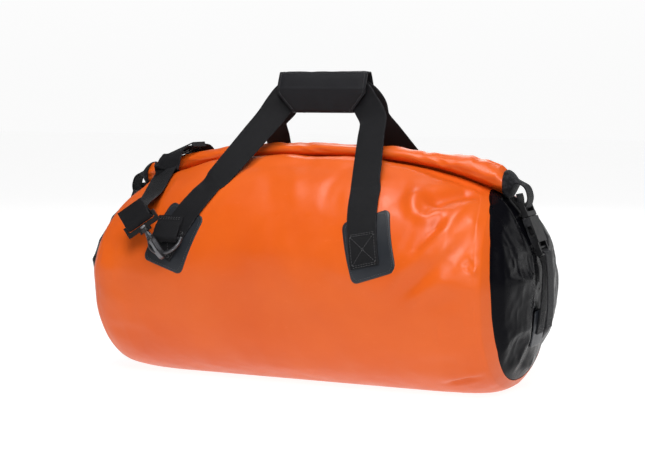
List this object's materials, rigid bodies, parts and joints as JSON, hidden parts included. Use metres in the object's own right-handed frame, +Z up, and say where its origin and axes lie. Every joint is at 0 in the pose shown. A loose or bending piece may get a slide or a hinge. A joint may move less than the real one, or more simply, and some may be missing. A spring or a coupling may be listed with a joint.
{
  "type": "dry bag",
  "caption": "Orange roll-top duffel dry bag with black end panels, a joined webbing grip, side-release end buckles and a clip-on shoulder strap",
  "frame": {"origin": "centre of the flat underside, on the floor", "axes": "+X along the bag to its right end, +Z up, -Y is the front with the strap's hook"},
  "size_m": [0.6236, 0.3401, 0.398],
  "materials": {
    "orange_tarp": "satin, coated fabric",
    "black_tarp": "glossy, coated fabric",
    "slate_tarp": "satin, coated fabric",
    "webbing": "woven nylon",
    "black_plastic": "moulded, satin",
    "stiffener_plastic": "flat strip",
    "grip_fabric": "coated woven fabric",
    "touch_tape": "hook-and-loop tape",
    "coated_wire": "black coated wire",
    "pin_steel": "drawn pin"
  },
  "bodies": {
    "bag": {"body_panel": "orange_tarp", "end_panel_right": "black_tarp", "end_panel_left": "black_tarp", "mouth_collar": "orange_tarp", "end_strap_right": "webbing", "end_strap_left": "webbing", "anchor_patch_right": "slate_tarp", "anchor_patch_left": "slate_tarp", "patch_front_left": "slate_tarp", "patch_front_right": "slate_tarp", "patch_rear_left": "slate_tarp", "patch_rear_right": "slate_tarp", "handle_end_front_left": "webbing", "handle_end_front_right": "webbing", "handle_end_rear_left": "webbing", "handle_end_rear_right": "webbing", "ring_tab_front": "webbing", "ring_tab_rear": "webbing", "strap_front": "webbing", "strap_rear": "webbing", "hook_frame_front": "black_plastic", "hook_frame_rear": "black_plastic"},
    "roll": {"roll_top": "orange_tarp", "stiffener_strip": "stiffener_plastic", "roll_tab_right": "webbing", "roll_tab_left": "webbing", "plug_right": "black_plastic", "plug_left": "black_plastic", "strap_over": "webbing"},
    "slider": {"strap_slider": "black_plastic"},
    "arm_right_front": {"prong_right_front": "black_plastic"},
    "arm_right_rear": {"prong_right_rear": "black_plastic"},
    "arm_left_front": {"prong_left_front": "black_plastic"},
    "arm_left_rear": {"prong_left_rear": "black_plastic"},
    "buckle_right": {"socket_right": "black_plastic", "end_tail_right": "webbing"},
    "buckle_left": {"socket_left": "black_plastic", "end_tail_left": "webbing"},
    "front_handle": {"handle_front": "webbing"},
    "rear_handle": {"handle_rear": "webbing", "grip_wrap": "grip_fabric", "grip_hook_tape": "touch_tape"},
    "flap": {"grip_flap": "grip_fabric", "grip_loop_tape": "touch_tape"},
    "ring_front": {"d_ring_front": "coated_wire"},
    "ring_rear": {"d_ring_rear": "coated_wire"},
    "snap_front": {"hook_front": "black_plastic", "gate_pin_front": "pin_steel"},
    "snap_rear": {"hook_rear": "black_plastic", "gate_pin_rear": "pin_steel"},
    "latch_front": {"gate_front": "black_plastic"},
    "latch_rear": {"gate_rear": "black_plastic"}
  },
  "joints": [
    {"name": "roll_lift", "type": "slide", "parent": "bag", "child": "roll", "axis": [0, 0, 1], "range_m": [0, 0.026], "deforming": ["mouth_collar"]},
    {"name": "buckle_right_release", "type": "slide", "parent": "bag", "child": "buckle_right", "axis": [1, 0, 0], "range_m": [0, 0.011]},
    {"name": "buckle_left_release", "type": "slide", "parent": "bag", "child": "buckle_left", "axis": [-1, 0, 0], "range_m": [0, 0.011]},
    {"name": "arm_right_front_press", "type": "hinge", "parent": "roll", "child": "arm_right_front", "pos_m": [0.28311, -0.011, 0.21889], "axis": [0.9272, 0, 0.3746], "range_deg": [0, 5], "stiffness_Nm_per_rad": 0.6},
    {"name": "arm_right_rear_press", "type": "hinge", "parent": "roll", "child": "arm_right_rear", "pos_m": [0.28311, 0.011, 0.21889], "axis": [-0.9272, 0, -0.3746], "range_deg": [0, 5], "stiffness_Nm_per_rad": 0.6},
    {"name": "arm_left_front_press", "type": "hinge", "parent": "roll", "child": "arm_left_front", "pos_m": [-0.28311, -0.011, 0.21889], "axis": [0.9272, 0, -0.3746], "range_deg": [0, 5], "stiffness_Nm_per_rad": 0.6},
    {"name": "arm_left_rear_press", "type": "hinge", "parent": "roll", "child": "arm_left_rear", "pos_m": [-0.28311, 0.011, 0.21889], "axis": [-0.9272, 0, 0.3746], "range_deg": [0, 5], "stiffness_Nm_per_rad": 0.6},
    {"name": "front_handle_swing", "type": "hinge", "parent": "bag", "child": "front_handle", "pos_m": [0, -0.1257, 0.214], "axis": [1, 0, 0], "range_deg": [0, 5]},
    {"name": "rear_handle_swing", "type": "hinge", "parent": "bag", "child": "rear_handle", "pos_m": [0, 0.1257, 0.214], "axis": [-1, 0, 0], "range_deg": [0, 5]},
    {"name": "grip_flap_open", "type": "hinge", "parent": "rear_handle", "child": "flap", "pos_m": [0.004, -0.0046, 0.398], "axis": [-1, 0, 0], "range_deg": [0, 160]},
    {"name": "ring_front_swing", "type": "hinge", "parent": "bag", "child": "ring_front", "pos_m": [-0.153, -0.14487, 0.187], "axis": [1, 0, 0], "range_deg": [-3, 3]},
    {"name": "ring_rear_swing", "type": "hinge", "parent": "bag", "child": "ring_rear", "pos_m": [0.153, 0.14487, 0.187], "axis": [-1, 0, 0], "range_deg": [-3, 3]},
    {"name": "hook_front_swivel", "type": "hinge", "parent": "bag", "child": "snap_front", "pos_m": [-0.153, -0.15809, 0.1688], "axis": [-0.5575, -0.0796, 0.8263], "range_deg": [-12, 12]},
    {"name": "hook_rear_swivel", "type": "hinge", "parent": "bag", "child": "snap_rear", "pos_m": [0.153, 0.15809, 0.1688], "axis": [0.0599, 0, -0.9982], "range_deg": [-12, 12]},
    {"name": "gate_front_open", "type": "hinge", "parent": "snap_front", "child": "latch_front", "pos_m": [-0.16251, -0.16692, 0.18513], "axis": [0.8095, 0.1687, 0.5624], "range_deg": [0, 18], "stiffness_Nm_per_rad": 0.05},
    {"name": "gate_rear_open", "type": "hinge", "parent": "snap_rear", "child": "latch_rear", "pos_m": [0.15417, 0.16549, 0.14933], "axis": [0.9982, 0, 0.0599], "range_deg": [0, 18], "stiffness_Nm_per_rad": 0.05},
    {"name": "slider_slide", "type": "slide", "parent": "roll", "child": "slider", "axis": [0.1513, 0.9885, 0], "range_m": [-0.006, 0.006]}
  ],
  "couplings": [
    {"joint": "buckle_right_release", "follows": "roll_lift", "ratio": 0.40403},
    {"joint": "buckle_left_release", "follows": "roll_lift", "ratio": 0.40403},
    {"joint": "arm_right_rear_press", "follows": "arm_right_front_press", "ratio": 1},
    {"joint": "arm_left_rear_press", "follows": "arm_left_front_press", "ratio": 1},
    {"joint": "front_handle_swing", "follows": "grip_flap_open", "ratio": 0.03125},
    {"joint": "rear_handle_swing", "follows": "grip_flap_open", "ratio": 0.03125}
  ]
}
